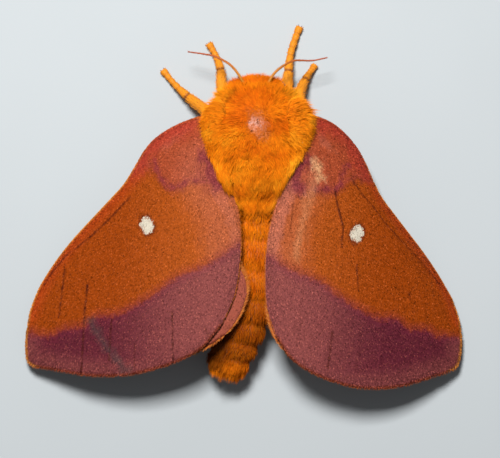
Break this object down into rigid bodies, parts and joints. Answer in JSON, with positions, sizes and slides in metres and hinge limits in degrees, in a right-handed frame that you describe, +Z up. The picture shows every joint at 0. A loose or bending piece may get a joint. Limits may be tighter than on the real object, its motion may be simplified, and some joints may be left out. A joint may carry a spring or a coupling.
{
  "type": "pink-striped oakworm moth model",
  "caption": "Life-size female pink-striped oakworm moth at rest, wings folded back like a low tent over a furry body, standing on its feet.",
  "frame": {"origin": "on the floor, under the centre of the moth's box", "axes": "+X across the wings towards the moth's right, +Y towards the head, +Z up"},
  "size_m": [0.0419, 0.0348, 0.0104],
  "materials": {
    "coat": "dense orange fur",
    "wing": "fine scales, orange brown with a purple pink outer band and a white spot",
    "hindwing": "fine scales, orange and purple pink",
    "leg": "orange, dark rings at the joints",
    "antenna": "ochre",
    "eye": "dark, glossy"
  },
  "bodies": {
    "root": {"head": "coat", "eye_left": "eye", "eye_right": "eye", "antenna_left": "antenna", "antenna_right": "antenna", "thorax": "coat", "abdomen_base": "coat", "abdomen_middle": "coat", "abdomen_end": "coat", "forewing_left": "wing", "forewing_right": "wing", "hindwing_left": "hindwing", "hindwing_right": "hindwing", "leg_fore_left": "leg", "leg_fore_right": "leg", "leg_mid_left": "leg", "leg_mid_right": "leg", "leg_hind_left": "leg", "leg_hind_right": "leg"}
  },
  "joints": []
}
